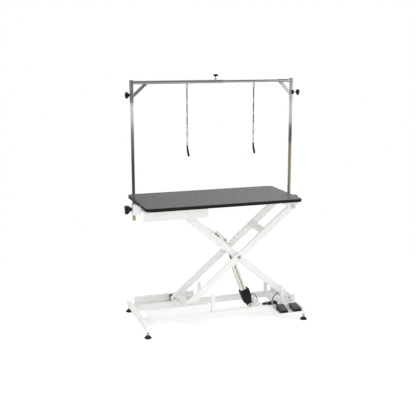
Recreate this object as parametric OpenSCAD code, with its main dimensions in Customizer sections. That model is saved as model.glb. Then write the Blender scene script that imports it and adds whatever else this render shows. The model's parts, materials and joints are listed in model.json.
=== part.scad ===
// Electric scissor-lift grooming table with a chrome H-bracket and two nooses.
// Frame: +Z up, the origin on the floor under the middle of the tabletop.
// +X runs to the end with the foot switch, -Y is the side where the groomer stands.

/* [Tabletop] */
// Length of the tabletop
top_l = 1200; // [1000:10:1300]
// Width of the tabletop
top_w = 600; // [560:10:700]
// Height of the working surface at rest
top_z = 945; // [945:1:945]
// Radius of the tabletop corners
top_r = 40; // [20:5:80]
// Thickness of the board
board_t = 18; // [12:1:25]
// Thickness of the ribbed mat
mat_t = 4; // [3:1:6]
// Width of the edge trim
trim_w = 6; // [4:1:8]

/* [Scissor] */
// Pitch between the lower and the upper pivots at rest
lift_rise = 731; // [731:1:731]
// Place of the fixed pivots along the table
pivot_x = 582; // [582:1:582]
// Place of the rollers along the table at rest
roller_x = -283; // [-283:1:-283]
// Height of an arm tube
arm_h = 50; // [40:1:50]
// Thickness of an arm tube
arm_t = 25; // [20:1:25]
// Wall of the steel tubes
wall = 2.5; // [2:0.5:3]

/* [Base] */
// Height of the base tubes
base_h = 50; // [50:1:50]
// Underside of the base tubes above the floor
base_z = 48; // [48:1:48]
// Thickness of the side rails
rail_t = 25; // [20:1:25]
// Outer width over the side rails
rail_span = 360; // [360:1:360]
// Length of the two end bars
bar_l = 632; // [560:2:700]
// Thickness of the end bars
bar_t = 30; // [30:1:30]
// Height of the roller channels
chan_h = 65; // [65:1:65]
// Length of the roller channels
chan_l = 485; // [480:1:490]
// Height of the four stop posts
stop_h = 130; // [60:5:135]

/* [Bracket] */
// Distance of each post from the middle of the table
post_x = 619; // [619:1:619]
// Width of the square posts
post_w = 20; // [20:1:20]
// Width of the corner sleeves and the outer crossbar
sleeve_w = 25; // [25:1:25]
// Height of the middle of the crossbar at rest
bar_z = 1804; // [1750:1:1850]
// Lower end of the posts at rest
post_z = 806; // [806:1:806]
// Length of the corner sleeves
sleeve_l = 158; // [120:1:180]
// End of the outer crossbar tube
outer_end_x = 68; // [40:1:120]
// Place of the left noose along the crossbar
noose_left_x = -208; // [-300:1:-100]
// Place of the right noose along the crossbar
noose_right_x = 314; // [200:1:380]

/* [Hidden] */
$fn = 48;
fit = 0.05;
steel_white = "whitesmoke";
chrome = "lightgray";
black = "dimgray";
zinc = "silver";

rail_in = rail_span / 2 - rail_t;
rail_top = base_z + base_h;
base_left = -620;
base_right = 640;
foot_y = 301;
stud_d = 12;
stop_x = [-65, 503];
actuator_tube_x = 331;
lug_tube_x = 525;
lug_tube_w = 50;
pivot_low = rail_top + chan_h / 2;
pivot_high = pivot_low + lift_rise;
frame_z = pivot_high + chan_h / 2;
board_z = top_z - mat_t - board_t;
frame_h = board_z - frame_z;
arm_run = pivot_x - roller_x;
arm_l = sqrt(arm_run * arm_run + lift_rise * lift_rise);
arm_angle = atan2(lift_rise, arm_run);
mid_x = (pivot_x + roller_x) / 2;
mid_z = (pivot_low + pivot_high) / 2;
a_out = 148.5;
a_in = a_out - arm_t;
b_out = 120;
b_in = b_out - arm_t;
chan_x = -592;
chan_out = 184;
chan_d = 32;
chan_wall = 4;
roller_d = 54;
roller_w = 22;
roller_y = 167;
pin_d = 16;
axle_d = 12;
lug_t = 6;
lug_out = 128;
table_lug_y = 150.5;

// Actuator: its lower pin, its upper pin and the run between them
act_x = 292;
act_z = 56;
lever_x = 84;
lever_z = 605;
act_l = sqrt(pow(lever_x - act_x, 2) + pow(lever_z - act_z, 2));
act_angle = atan2(lever_z - act_z, lever_x - act_x);

// Leads: the control lead runs from the motor over the front rail to the foot switch
control_d = 5.5;
mains_d = 6.5;
motor_route = [
    [308, -20, 146], [316, -20, 148], [325, -20, 148], [334, -20, 143], [342, -20, 133], [348, -20, 120],
    [352, -21, 107], [357, -23, 93], [361, -28, 78], [364, -37, 64], [366, -50, 54], [367, -66, 49],
    [367, -83, 49], [366, -100, 54], [364, -114, 62], [361, -126, 73], [358, -136, 86], [357, -143, 98],
    [359, -147, 108], [367, -150, 115], [378, -151, 118], [390, -151, 118]
];
hank_x = 421;
hank_y = -167;
hank_l = 82;
hank_w = 38;
hank_h = 22;
switch_route = [[459, -174, 102], [459, -181, 101], [460, -187, 98], [461, -190, 92]];
mains_route = [
    [408, -160, 121], [421, -160, 123], [435, -157, 123], [447, -149, 120], [454, -137, 113],
    [456, -123, 105], [455, -109, 101], [454, -96, 104], [457, -86, 112], [465, -80, 122],
    [477, -76, 133], [491, -72, 142], [507, -68, 148], [523, -63, 148], [538, -56, 142],
    [551, -48, 130], [561, -39, 114], [568, -30, 96], [573, -21, 77], [577, -12, 58],
    [580, -2, 39], [582, 9, 22], [583, 20, 10], [583, 31, 4]
];
// The coil has three turns on each of two layers; its outermost turn is where the route ends
coil_x = 538;
coil_y = 31;
coil_r = 38.5;
plug_at = [484, 80, 15];

// ---------- shared shapes ----------

module rounded_rect(w, h, r) {
    square([w - 2 * r, h], center = true);
    square([w, h - 2 * r], center = true);
    for (x = [-1, 1], y = [-1, 1])
        translate([x * (w / 2 - r), y * (h / 2 - r)]) circle(r, $fn = 32);
}

module tube_profile(w, h, t, r) {
    difference() {
        rounded_rect(w, h, r);
        rounded_rect(w - 2 * t, h - 2 * t, max(r - t, 0.6));
    }
}

// A tube along X from x0 to x1: w is its size along Y and h its size along Z
module tube_x(x0, x1, y, z, w, h, t = wall, r = 4) {
    translate([x0, y, z]) rotate([90, 0, 90]) linear_extrude(x1 - x0) tube_profile(w, h, t, r);
}

// A tube along Y from y0 to y1: w is its size along X and h its size along Z
module tube_y(y0, y1, x, z, w, h, t = wall, r = 4) {
    translate([x, y1, z]) rotate([90, 0, 0]) linear_extrude(y1 - y0) tube_profile(w, h, t, r);
}

module tube_z(z0, z1, x, y, w, t = 1.5, r = 3) {
    translate([x, y, z0]) linear_extrude(z1 - z0) tube_profile(w, w, t, r);
}

// A cylinder along Y between y0 and y1
module rod_y(y0, y1, x, z, d) {
    translate([x, max(y0, y1), z]) rotate([90, 0, 0]) cylinder(h = abs(y1 - y0), d = d);
}

// A hexagon head along Y between y0 and y1
module hex_y(y0, y1, x, z, af) {
    translate([x, max(y0, y1), z]) rotate([90, 0, 0])
        cylinder(h = abs(y1 - y0), d = af / cos(30), $fn = 6);
}

// A flat part drawn in the X-Z plane, from y0 to y1
module plate_y(y0, y1) {
    translate([0, max(y0, y1), 0]) rotate([90, 0, 0]) linear_extrude(abs(y1 - y0)) children();
}

// Local axes of an arm: X along the arm from the middle pivot, Z across it
module along_arm_a() { translate([mid_x, 0, mid_z]) rotate([0, -arm_angle, 0]) children(); }
module along_arm_b() { translate([mid_x, 0, mid_z]) rotate([0, arm_angle, 0]) children(); }

// Local axes of the actuator: X along it from the lower pin
module along_actuator() { translate([act_x, 0, act_z]) rotate([0, -act_angle, 0]) children(); }

// ---------- base ----------

module end_bar(x) {
    color(steel_white) difference() {
        union() {
            tube_y(-bar_l / 2, bar_l / 2, x, base_z + base_h / 2, bar_t, base_h);
            for (s = [-1, 1])
                translate([x, s * (bar_l / 2 - 1.5), base_z + base_h / 2])
                    cube([bar_t - 4, 3, base_h - 4], center = true);
            for (s = [-1, 1])
                translate([x, s * foot_y, base_z + 1]) cylinder(h = 8, d = 20);
        }
        for (s = [-1, 1])
            translate([x, s * foot_y, base_z - 1]) cylinder(h = 12, d = stud_d + 2 * fit);
    }
}

module base_end_bar_left() { end_bar(base_left + bar_t / 2); }
module base_end_bar_right() { end_bar(base_right - bar_t / 2); }

// A side rail with its two stop posts
module base_rail(s) {
    y = s * (rail_in + rail_t / 2);
    color(steel_white) {
        tube_x(base_left + bar_t, base_right - bar_t, y, base_z + base_h / 2, rail_t, base_h);
        for (x = stop_x) {
            tube_z(rail_top, rail_top + stop_h - 2, x, y, rail_t, t = 2, r = 3);
            translate([x, y, rail_top + stop_h - 2]) linear_extrude(2) rounded_rect(rail_t, rail_t, 3);
        }
    }
}

module base_rail_front() { base_rail(-1); }
module base_rail_rear() { base_rail(1); }

// The cross tube with the actuator's lower clevis, and the one with the two pivot lugs
module base_cross_members() {
    tube_mid = base_z + base_h / 2;
    color(steel_white) {
        tube_y(-rail_in, rail_in, actuator_tube_x, tube_mid, 40, base_h);
        tube_y(-rail_in, rail_in, lug_tube_x, tube_mid, lug_tube_w, base_h);
        for (s = [-1, 1]) {
            plate_y(s * 13, s * 19) clevis_lug_shape();
            plate_y(s * (lug_out - lug_t), s * lug_out) base_lug_shape();
        }
    }
    color(zinc) {
        rod_y(-24, 24, act_x, act_z, axle_d);
        for (s = [-1, 1]) hex_y(s * 19.5, s * 29, act_x, act_z, 18);
    }
}

module clevis_lug_shape() {
    difference() {
        union() {
            translate([act_x, act_z]) circle(15);
            translate([act_x, act_z - 15]) square([20, 30]);
            translate([act_x + 12, act_z - 15]) square([10, 35]);
        }
        translate([act_x, act_z]) circle(axle_d / 2);
    }
}

module channel_profile() {
    difference() {
        square([chan_d, chan_h]);
        translate([chan_wall, chan_wall]) square([chan_d, chan_h - 2 * chan_wall]);
    }
}

// A roller channel that opens towards the middle, with its lower edge at z
module channel(s, z) {
    color(steel_white) translate([chan_x, s * chan_out, z])
        mirror([0, s > 0 ? 1 : 0, 0]) rotate([90, 0, 90]) linear_extrude(chan_l) channel_profile();
}

module base_channels() { for (s = [-1, 1]) channel(s, rail_top); }

module base_lug_shape() {
    difference() {
        union() {
            translate([lug_tube_x - lug_tube_w / 2 + 6, rail_top]) square([126, 14]);
            translate([pivot_x - 45, rail_top]) square([95, 30]);
            translate([pivot_x, pivot_low]) circle(24);
            translate([pivot_x, pivot_low - 24]) square([50, 44]);
        }
        translate([pivot_x, pivot_low]) circle(pin_d / 2 + fit);
    }
}

// A levelling foot: a rubber pad, a stud and a lock nut
module foot(x, y) {
    translate([x, y, 0]) {
        color(black) rotate_extrude() polygon([
            [0, 0], [25, 0], [26, 2], [26, 7], [22, 11], [15, 15], [13.5, 22], [0, 22]
        ]);
        color(zinc) cylinder(h = 72, d = stud_d);
        color(zinc) translate([0, 0, base_z - 10.5]) cylinder(h = 10, d = 21.9, $fn = 6);
    }
}

module foot_left_front() { foot(base_left + bar_t / 2, -foot_y); }
module foot_left_rear() { foot(base_left + bar_t / 2, foot_y); }
module foot_right_front() { foot(base_right - bar_t / 2, -foot_y); }
module foot_right_rear() { foot(base_right - bar_t / 2, foot_y); }

// ---------- scissor arms ----------

arm_end = 27;

// An arm tube with closed rounded ends: y is its middle, bores at both ends and the middle
module arm_tube(y, mid_bore, low_bore, high_bore) {
    half = arm_l / 2;
    difference() {
        translate([0, y, 0]) intersection() {
            translate([-half - arm_end, 0, 0]) rotate([90, 0, 90])
                linear_extrude(arm_l + 2 * arm_end) rounded_rect(arm_t, arm_h, 4);
            plate_y(-arm_t / 2, arm_t / 2) {
                square([arm_l, arm_h], center = true);
                for (s = [-1, 1]) translate([s * half, 0]) circle(arm_h / 2);
            }
        }
        for (s = [-1, 1])
            translate([s > 0 ? 24 : 24 - half, y, 0]) rotate([90, 0, 90])
                linear_extrude(half - 48) rounded_rect(arm_t - 2 * wall, arm_h - 2 * wall, 1.5);
        rod_y(y - arm_t, y + arm_t, 0, 0, mid_bore);
        rod_y(y - arm_t, y + arm_t, -half, 0, low_bore);
        rod_y(y - arm_t, y + arm_t, half, 0, high_bore);
    }
}

module arm_a(s) {
    color(steel_white) along_arm_a() arm_tube(s * (a_out - arm_t / 2), pin_d, axle_d, pin_d);
}

module arm_b(s) {
    color(steel_white) along_arm_b()
        arm_tube(s * (b_out - arm_t / 2), pin_d + 2 * fit, axle_d, pin_d);
}

module arm_a_front() { arm_a(-1); }
module arm_a_rear() { arm_a(1); }
module arm_b_front() { arm_b(-1); }
module arm_b_rear() { arm_b(1); }

// Two flat cross tubes tie the outer pair of arms together
module arm_a_cross_tubes() {
    color(steel_white) along_arm_a() {
        tube_y(-a_in, a_in, 277, 8.5, 50, 25);
        tube_y(-a_in, a_in, -arm_l / 2 + 44, -8, 50, 25);
    }
}

// Bolt heads, washers and nuts on the outer arms: low axles, middle pivots, high pivots
module arm_a_pins() {
    color(zinc) for (s = [-1, 1]) {
        rod_y(s * 117, s * 178, roller_x, pivot_low, axle_d);
        hex_y(s * (a_in - 0.2), s * (a_in - 8), roller_x, pivot_low, 18);
        rod_y(s * (a_out + 0.2), s * (a_out + 5), roller_x, pivot_low, 20);
        rod_y(s * 84, s * 156, mid_x, mid_z, pin_d);
        hex_y(s * (a_out + 0.2), s * (a_out + 9), mid_x, mid_z, 24);
        rod_y(s * (b_out + 0.3), s * (a_in - 0.3), mid_x, mid_z, 34);
        hex_y(s * (b_in - 0.4), s * (b_in - 11), mid_x, mid_z, 24);
        rod_y(s * 113, s * 166, pivot_x, pivot_high, pin_d);
        hex_y(s * (table_lug_y + lug_t + 0.3), s * (table_lug_y + lug_t + 10), pivot_x, pivot_high, 24);
        hex_y(s * (a_in - 0.2), s * (a_in - 11), pivot_x, pivot_high, 24);
    }
}

// The inner pair's cross tube stands proud of the arms and carries the lever
cross_b_s = -230;
module arm_b_cross_tube() {
    color(steel_white) along_arm_b() tube_y(-b_in, b_in, cross_b_s, 23, 50, 25);
}

// Bolts of the inner arms: high axles and low pivots
module arm_b_pins() {
    color(zinc) for (s = [-1, 1]) {
        rod_y(s * 86, s * 178, roller_x, pivot_high, axle_d);
        hex_y(s * (b_in - 0.2), s * (b_in - 8), roller_x, pivot_high, 18);
        rod_y(s * (b_out + 0.2), s * (a_out + 5), roller_x, pivot_high, 20);
        rod_y(s * 84, s * 140, pivot_x, pivot_low, pin_d);
        hex_y(s * (lug_out + 0.3), s * (lug_out + 10), pivot_x, pivot_low, 24);
        hex_y(s * (b_in - 0.2), s * (b_in - 11), pivot_x, pivot_low, 24);
    }
}

// The lever's pin, and the face of the cross tube that its plates are welded to
lever_s = -122.5;
lever_n = 40;
lever_root = cross_b_s + 25;

// Two lever plates with a back plate, welded to the inner pair's cross tube
module lever_bracket() {
    color(steel_white) along_arm_b() {
        for (s = [-1, 1]) plate_y(s * 24, s * 30) difference() {
            union() {
                translate([lever_s, lever_n]) circle(17);
                translate([lever_root, 13]) square([lever_s - lever_root, 44]);
                translate([lever_s - 40, -12]) square([44, 30]);
            }
            translate([lever_s, lever_n]) circle(axle_d / 2);
        }
        translate([lever_s - 40, -24.2, -12]) cube([5, 48.4, 60]);
    }
    color(zinc) along_arm_b() for (s = [-1, 1]) {
        hex_y(s * 30.2, s * 38, lever_s, lever_n, 18);
        rod_y(s * 24.5, s * 31, lever_s, lever_n, axle_d);
    }
}

// ---------- rollers ----------

module roller(x, s, z) {
    color(black) difference() {
        union() {
            rod_y(s * roller_y - roller_w / 2, s * roller_y + roller_w / 2, x, z, roller_d - 2);
            rod_y(s * roller_y - roller_w / 2 + 2, s * roller_y + roller_w / 2 - 2, x, z, roller_d);
        }
        rod_y(s * roller_y - 20, s * roller_y + 20, x, z, axle_d + 2 * fit);
    }
}

module roller_low_front() { roller(roller_x, -1, pivot_low); }
module roller_low_rear() { roller(roller_x, 1, pivot_low); }
module roller_high_front() { roller(roller_x, -1, pivot_high); }
module roller_high_rear() { roller(roller_x, 1, pivot_high); }

// ---------- table ----------

end_cross_x = 556;

// The frame under the board: two rails, four crossbars, four end stubs and the two pivot lugs
module table_frame() {
    z = frame_z + frame_h / 2;
    color(steel_white) {
        for (s = [-1, 1])
            tube_x(-584, 584, s * (rail_in + rail_t / 2), z, rail_t, frame_h, r = 3);
        for (x = [-end_cross_x, -200, 200, end_cross_x])
            tube_y(-rail_in, rail_in, x, z, rail_t, frame_h, r = 3);
        for (x = [-end_cross_x, end_cross_x]) {
            tube_y(-270, -rail_span / 2, x, z, rail_t, frame_h, r = 3);
            tube_y(rail_span / 2, 270, x, z, rail_t, frame_h, r = 3);
        }
        for (s = [-1, 1]) plate_y(s * table_lug_y, s * (table_lug_y + lug_t)) table_lug_shape();
    }
}

module table_lug_shape() {
    difference() {
        union() {
            translate([pivot_x, pivot_high]) circle(24);
            translate([pivot_x - 40, pivot_high]) square([64, frame_z - pivot_high]);
            translate([pivot_x - 40, pivot_high - 4]) square([40, 20]);
        }
        translate([pivot_x, pivot_high]) circle(pin_d / 2 + fit);
    }
}

module table_channels() { for (s = [-1, 1]) channel(s, frame_z - chan_h); }

module top_outline(grow) {
    rounded_rect(top_l - 2 * trim_w + 2 * grow, top_w - 2 * trim_w + 2 * grow, top_r - trim_w + grow);
}

module tabletop_board() {
    color("tan") translate([0, 0, board_z]) linear_extrude(board_t) top_outline(0);
}

module tabletop_mat() {
    color("slategray") translate([0, 0, board_z + board_t]) linear_extrude(mat_t) top_outline(0);
}

// The trim is a band round the edge that laps a little under the board
module tabletop_trim() {
    color(black) translate([0, 0, board_z - 2]) difference() {
        linear_extrude(board_t + mat_t + 2) top_outline(trim_w);
        translate([0, 0, 2]) linear_extrude(board_t + mat_t) top_outline(0);
        translate([0, 0, -1]) linear_extrude(4) top_outline(-8);
    }
}

// ---------- bracket ----------

socket_w = 56;
socket_h = 72;
socket_d = 52;
socket_x = 604;
socket_face = socket_x + socket_w / 2;
socket_knob_z = 890;
socket_stud_d = 10;

// The socket is a block under the tabletop's end that the post slides through
module post_socket(s) {
    z = board_z - 3 - socket_h;
    color(steel_white) difference() {
        translate([s * socket_x, 0, z]) linear_extrude(socket_h) rounded_rect(socket_w, socket_d, 4);
        translate([s * post_x, 0, z - 1]) linear_extrude(socket_h + 2)
            rounded_rect(post_w + 2 * fit, post_w + 2 * fit, 3);
        translate([s * (post_x + 5), 0, socket_knob_z]) rotate([0, s * 90, 0])
            cylinder(h = 30, d = socket_stud_d + 2 * fit);
    }
    // Two spacer bolts tie the block to the frame's end crossbar
    bolt_x = socket_x - socket_w / 2;
    bolt_l = bolt_x - end_cross_x - rail_t / 2;
    color(zinc) for (y = [-17, 17])
        translate([s * bolt_x, y, frame_z + 12]) rotate([0, -s * 90, 0])
            cylinder(h = bolt_l, d = 14 / cos(30), $fn = 6);
}

module post_socket_left() { post_socket(-1); }
module post_socket_right() { post_socket(1); }

module post(s) {
    color(chrome) tube_z(post_z, bar_z + 8, s * post_x, 0, post_w);
}

module post_left() { post(-1); }
module post_right() { post(1); }

sleeve_top = bar_z + sleeve_w / 2 + 1.5;
sleeve_t = (sleeve_w - post_w) / 2 - fit;
eye_drop = 7;
knob_bar_x = 12;

corner_knob_z = 1716;
corner_stud_d = 8;
brace_w = 31;
stub_end_x = 512;

// A corner: the sleeve on the post, its cap, the boss for the knob and the diagonal brace
module corner(s, brace_x) {
    color(chrome) {
        difference() {
            tube_z(sleeve_top - sleeve_l, sleeve_top, s * post_x, 0, sleeve_w, t = sleeve_t);
            translate([s * (post_x + 5), 0, corner_knob_z]) rotate([0, s * 90, 0])
                cylinder(h = 30, d = corner_stud_d + 2 * fit);
        }
        translate([s * (post_x + 12), 0, corner_knob_z]) rotate([0, s * 90, 0]) difference() {
            cylinder(h = 10.5, d = 15);
            translate([0, 0, -1]) cylinder(h = 20, d = corner_stud_d + 2 * fit);
        }
        brace(s, brace_x);
    }
    color(black) translate([s * post_x, 0, sleeve_top]) linear_extrude(3) rounded_rect(sleeve_w, sleeve_w, 3);
}

// The brace is a flat bar from the underside of the crossbar at brace_x to the sleeve
module brace(s, brace_x) {
    foot_x = post_x - sleeve_w / 2 + 0.5;
    top = bar_z - sleeve_w / 2;
    plate_y(-6, 6) polygon([
        [s * foot_x, 1697], [s * foot_x, 1725], [s * (brace_x + brace_w), top], [s * brace_x, top]
    ]);
}

module corner_left() { corner(-1, 502); }

// The right corner also has the stub that the inner crossbar tube slides into
module corner_right() {
    corner(1, 516);
    color(chrome)
        tube_x(stub_end_x, post_x - sleeve_w / 2, 0, bar_z, sleeve_w, sleeve_w, t = sleeve_t, r = 3);
}

// An eye under the crossbar: a short lug with a round hole for the hook
module eye(x, drop) {
    translate([x, 0, bar_z - drop]) rotate([0, 90, 0]) difference() {
        union() {
            translate([eye_drop, 0, -2]) cylinder(h = 4, d = 13);
            translate([-1, -6.5, -2]) cube([eye_drop + 1, 13, 4]);
        }
        translate([eye_drop, 0, -3]) cylinder(h = 6, d = 7.6);
    }
}

module crossbar_outer() {
    color(chrome) {
        difference() {
            tube_x(-post_x + sleeve_w / 2, outer_end_x, 0, bar_z, sleeve_w, sleeve_w, t = sleeve_t, r = 3);
            translate([knob_bar_x, 0, bar_z + 5]) cylinder(h = 20, d = corner_stud_d + 2 * fit);
        }
        translate([knob_bar_x, 0, bar_z + sleeve_w / 2 - 0.5]) difference() {
            cylinder(h = 8.5, d = 15);
            translate([0, 0, -1]) cylinder(h = 12, d = corner_stud_d + 2 * fit);
        }
        eye(noose_left_x, sleeve_w / 2);
    }
}

module crossbar_inner() {
    color(chrome) {
        tube_x(-120, post_x - sleeve_w / 2, 0, bar_z, post_w, post_w, t = 1.5, r = 3);
        eye(noose_right_x, post_w / 2);
    }
}

// ---------- knobs ----------

// A three-lobed clamping knob that points along local +Z, with its stud below the hub.
// reach is how far its lobes stand out and grip_h the thickness of the grip.
module knob(reach, grip_h, hub_l, thread_d, thread_l) {
    lobe = 0.43 * reach;
    color(black) {
        translate([0, 0, hub_l]) linear_extrude(grip_h) {
            for (a = [90, 210, 330]) rotate(a) translate([reach - lobe, 0]) circle(lobe);
            circle(0.66 * reach);
        }
        cylinder(h = hub_l + 1, d1 = 0.8 * reach, d2 = 1.24 * reach);
    }
    color(zinc) translate([0, 0, -thread_l]) cylinder(h = thread_l + 1, d = thread_d);
}

// A knob on the outside of the bracket at height z: x0 is where its hub starts.
// At turn 0 one lobe points towards +Y, and at turn 90 one points down.
module side_knob(s, x0, z, turn) {
    translate([s * x0, 0, z]) rotate([0, s * 90, 0]) rotate([0, 0, -s * turn]) children();
}

post_face = post_x + post_w / 2;
module socket_knob(s) {
    x0 = socket_face + 1;
    side_knob(s, x0, socket_knob_z, 90) knob(36, 24, 28, socket_stud_d, x0 - post_face - 0.1);
}
module corner_knob(s, x0, turn) {
    side_knob(s, x0, corner_knob_z, turn) knob(25, 13, 10, corner_stud_d, x0 - post_face - 0.1);
}

module knob_socket_left() { socket_knob(-1); }
module knob_socket_right() { socket_knob(1); }
module knob_corner_left() { corner_knob(-1, post_x + 23, 0); }
module knob_corner_right() { corner_knob(1, post_x + 40, 90); }
module knob_crossbar() {
    z0 = bar_z + 34;
    translate([knob_bar_x, 0, z0]) knob(20, 13, 5, corner_stud_d, z0 - bar_z - post_w / 2 - 0.1);
}

// ---------- nooses ----------

cord_d = 8;
tip_z = 1258;
sleeve_low_z = 1342;
ring_h = 34;
ring_bar = 3.3;
neck_drop = 48;

// A snap hook: an oval ring through the eye, with a swivel neck below it
module noose_hook(x, drop) {
    hole_z = bar_z - drop - eye_drop;
    ring_z = hole_z - ring_h / 2 + ring_bar / 2;
    color(zinc) translate([x, 0, 0]) {
        plate_y(-1.5, 1.5) {
            difference() {
                translate([0, ring_z]) rounded_rect(18, ring_h, 8.9);
                translate([0, ring_z]) rounded_rect(18 - 2 * ring_bar, ring_h - 2 * ring_bar, 5.6);
            }
            translate([-3.5, hole_z - 39]) square([7, 9]);
        }
        translate([0, 0, hole_z - neck_drop]) cylinder(h = 12, d = 10);
    }
}

module noose_hook_left() { noose_hook(noose_left_x, sleeve_w / 2); }
module noose_hook_right() { noose_hook(noose_right_x, post_w / 2); }

// The cord hangs straight; its closed loop runs down through the clear sleeve to the end tube
module noose(x, top) {
    color(black) translate([x, 0, 0]) {
        translate([0, 0, sleeve_low_z]) cylinder(h = top - sleeve_low_z, d = cord_d, $fn = 24);
        translate([0, 0, tip_z]) cylinder(h = sleeve_low_z + 0.5 - tip_z, d = 13, $fn = 24);
    }
}

module noose_left() { noose(noose_left_x, bar_z - sleeve_w / 2 - eye_drop - neck_drop); }
module noose_right() { noose(noose_right_x, bar_z - post_w / 2 - eye_drop - neck_drop); }

// The sliding lock: two beads joined by a thin neck
module noose_slider(x) {
    color(black) translate([x, 0, 1458]) difference() {
        union() {
            cylinder(h = 12, d = 16);
            translate([0, 0, 12]) cylinder(h = 5, d = 13);
            translate([0, 0, 17]) cylinder(h = 12, d = 16);
        }
        translate([0, 0, -1]) cylinder(h = 40, d = cord_d + 1.2);
    }
}

module noose_slider_left() { noose_slider(noose_left_x); }
module noose_slider_right() { noose_slider(noose_right_x); }

// ---------- actuator ----------

motor_top = 140;
body_top = 392;
rod_d = 22;
gland_s = 78.5;

// The gear and motor housing round the foot of the actuator, with its clevis eye
module actuator_motor() {
    color(black) along_actuator() difference() {
        union() {
            plate_y(-31, 31) polygon([
                [22, -14], [22, 14], [32, 27], [44, 29], [motor_top, 30],
                [motor_top, -40], [112, -40], [50, -31]
            ]);
            rod_y(-12, 12, 0, 0, 26);
            translate([0, -12, -13]) cube([24, 24, 26]);
            translate([gland_s, motor_route[0].y, -34]) rotate([180, 0, 0])
                cylinder(h = 11.5, d1 = 15, d2 = 10);
        }
        rod_y(-40, 40, 0, 0, axle_d + 2 * fit);
    }
}

module body_profile() {
    difference() {
        rounded_rect(46, 46, 8);
        for (s = [-1, 1]) {
            translate([s * 23, 0]) square([5, 6], center = true);
            translate([0, s * 23]) square([6, 5], center = true);
        }
    }
}

// The grooved aluminium body with its front bush
module actuator_body() {
    color(chrome) along_actuator() difference() {
        translate([motor_top, 0, 0]) rotate([90, 0, 90]) linear_extrude(body_top - motor_top) body_profile();
        translate([motor_top + 8, 0, 0]) rotate([0, 90, 0]) cylinder(h = body_top - motor_top - 28, d = 32);
        translate([motor_top + 20, 0, 0]) rotate([0, 90, 0])
            cylinder(h = body_top - motor_top, d = rod_d + 2 * fit);
    }
}

module actuator_rod() {
    color(chrome) along_actuator() {
        translate([318, 0, 0]) rotate([0, 90, 0]) cylinder(h = act_l - 318 - 8, d = rod_d);
        rod_y(-11, 11, act_l, 0, 28);
        rod_y(-22, 22, act_l, 0, axle_d);
    }
}

// ---------- foot switch ----------

tray_x0 = 408;
tray_x1 = 610;
tray_y0 = -327;
tray_y1 = -rail_span / 2;
tray_z = 60;
pedal_x = [465, 574];
pedal_w = 62;
pedal_y = -206;
pedal_z = 89;

module tray_side() {
    polygon([[tray_y0, tray_z], [tray_y1, tray_z], [tray_y1, 88], [tray_y0, 76]]);
}

// The tray is folded sheet with a floor, two sides, a front lip and a hinge bar for the pedals
module pedal_tray() {
    color(steel_white) {
        translate([tray_x0, tray_y0, tray_z]) cube([tray_x1 - tray_x0, tray_y1 - tray_y0, 3]);
        for (x = [tray_x0, tray_x1 - 3])
            translate([x, 0, 0]) rotate([90, 0, 90]) linear_extrude(3) tray_side();
        translate([tray_x0, tray_y0, tray_z]) cube([tray_x1 - tray_x0, 3, 16]);
        translate([tray_x0, tray_y1 - 3, tray_z]) cube([tray_x1 - tray_x0, 3, 28]);
        for (x = pedal_x, s = [-1, 1]) translate([x + s * 33.5 - 1.5, -214, tray_z]) difference() {
            cube([3, 16, 36]);
            translate([-1, 8, 29]) rotate([0, 90, 0]) cylinder(h = 5, d = 6 + 2 * fit);
        }
    }
}

// A pedal slopes down to the front and turns on a pin at its back
module pedal(x) {
    color(black) translate([x - pedal_w / 2, 0, 0]) rotate([90, 0, 90]) linear_extrude(pedal_w)
        union() {
            polygon([
                [-302, 70], [-300, 68], [-215, 86], [-201, 90], [-200, 104], [-204, 107],
                [-296, 85], [-302, 80]
            ]);
            translate([pedal_y, pedal_z]) circle(7);
        }
    color(black) translate([x - 34.9, pedal_y, pedal_z]) rotate([0, 90, 0]) cylinder(h = 69.8, d = 6);
}

module pedal_left() { pedal(pedal_x[0]); }
module pedal_right() { pedal(pedal_x[1]); }

// The switch behind each pedal, in a small closed case
module switch_blocks() {
    color(black) for (x = pedal_x)
        translate([x - 12, -197, tray_z + 3]) cube([32, 14, 29]);
}

// ---------- leads ----------

function unit(v) = v / norm(v);
function heading(p, i) = unit(p[min(i + 1, len(p) - 1)] - p[max(i - 1, 0)]);
// A side direction at each point of a route, turned as little as possible from the last one
function sides(p, i = 0, last = [0, 0, 1]) =
    let (t = heading(p, i), side = unit(last - (last * t) * t))
    i == len(p) - 1 ? [side] : concat([side], sides(p, i + 1, side));

// A round tube along a route of points
module lead(p, d, first, n = 8) {
    side = sides(p, 0, first);
    rings = [
        for (i = [0 : len(p) - 1]) let (t = heading(p, i), u = side[i], w = cross(t, u))
            for (k = [0 : n - 1]) p[i] + d / 2 * (cos(360 * k / n) * u + sin(360 * k / n) * w)
    ];
    last = n * (len(p) - 1);
    polyhedron(rings, concat(
        [[for (k = [0 : n - 1]) k]],
        [for (i = [0 : len(p) - 2], k = [0 : n - 1])
            [i * n + k, (i + 1) * n + k, (i + 1) * n + (k + 1) % n, i * n + (k + 1) % n]],
        [[for (k = [n - 1 : -1 : 0]) last + k]]
    ));
}

module motor_lead() { color(black) lead(motor_route, control_d, [0, 1, 0]); }
module switch_lead() { color(black) lead(switch_route, control_d, [0, 0, 1]); }
module mains_lead() { color(black) lead(mains_route, mains_d, [0, 0, 1]); }

// The spare length of the control lead, folded in a flat hank on the front rail
module cable_hank() {
    color(black) translate([hank_x, hank_y, rail_top]) linear_extrude(hank_h)
        rounded_rect(hank_l, hank_w, hank_w / 2 - 0.1);
}

// The spare length of the mains lead lies in a coil on the floor behind the pedals
module mains_coil() {
    color(black) translate([coil_x, coil_y, 0]) rotate_extrude()
        translate([coil_r - 1.5 * mains_d, 0]) square([3 * mains_d, 2 * mains_d]);
}

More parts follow.
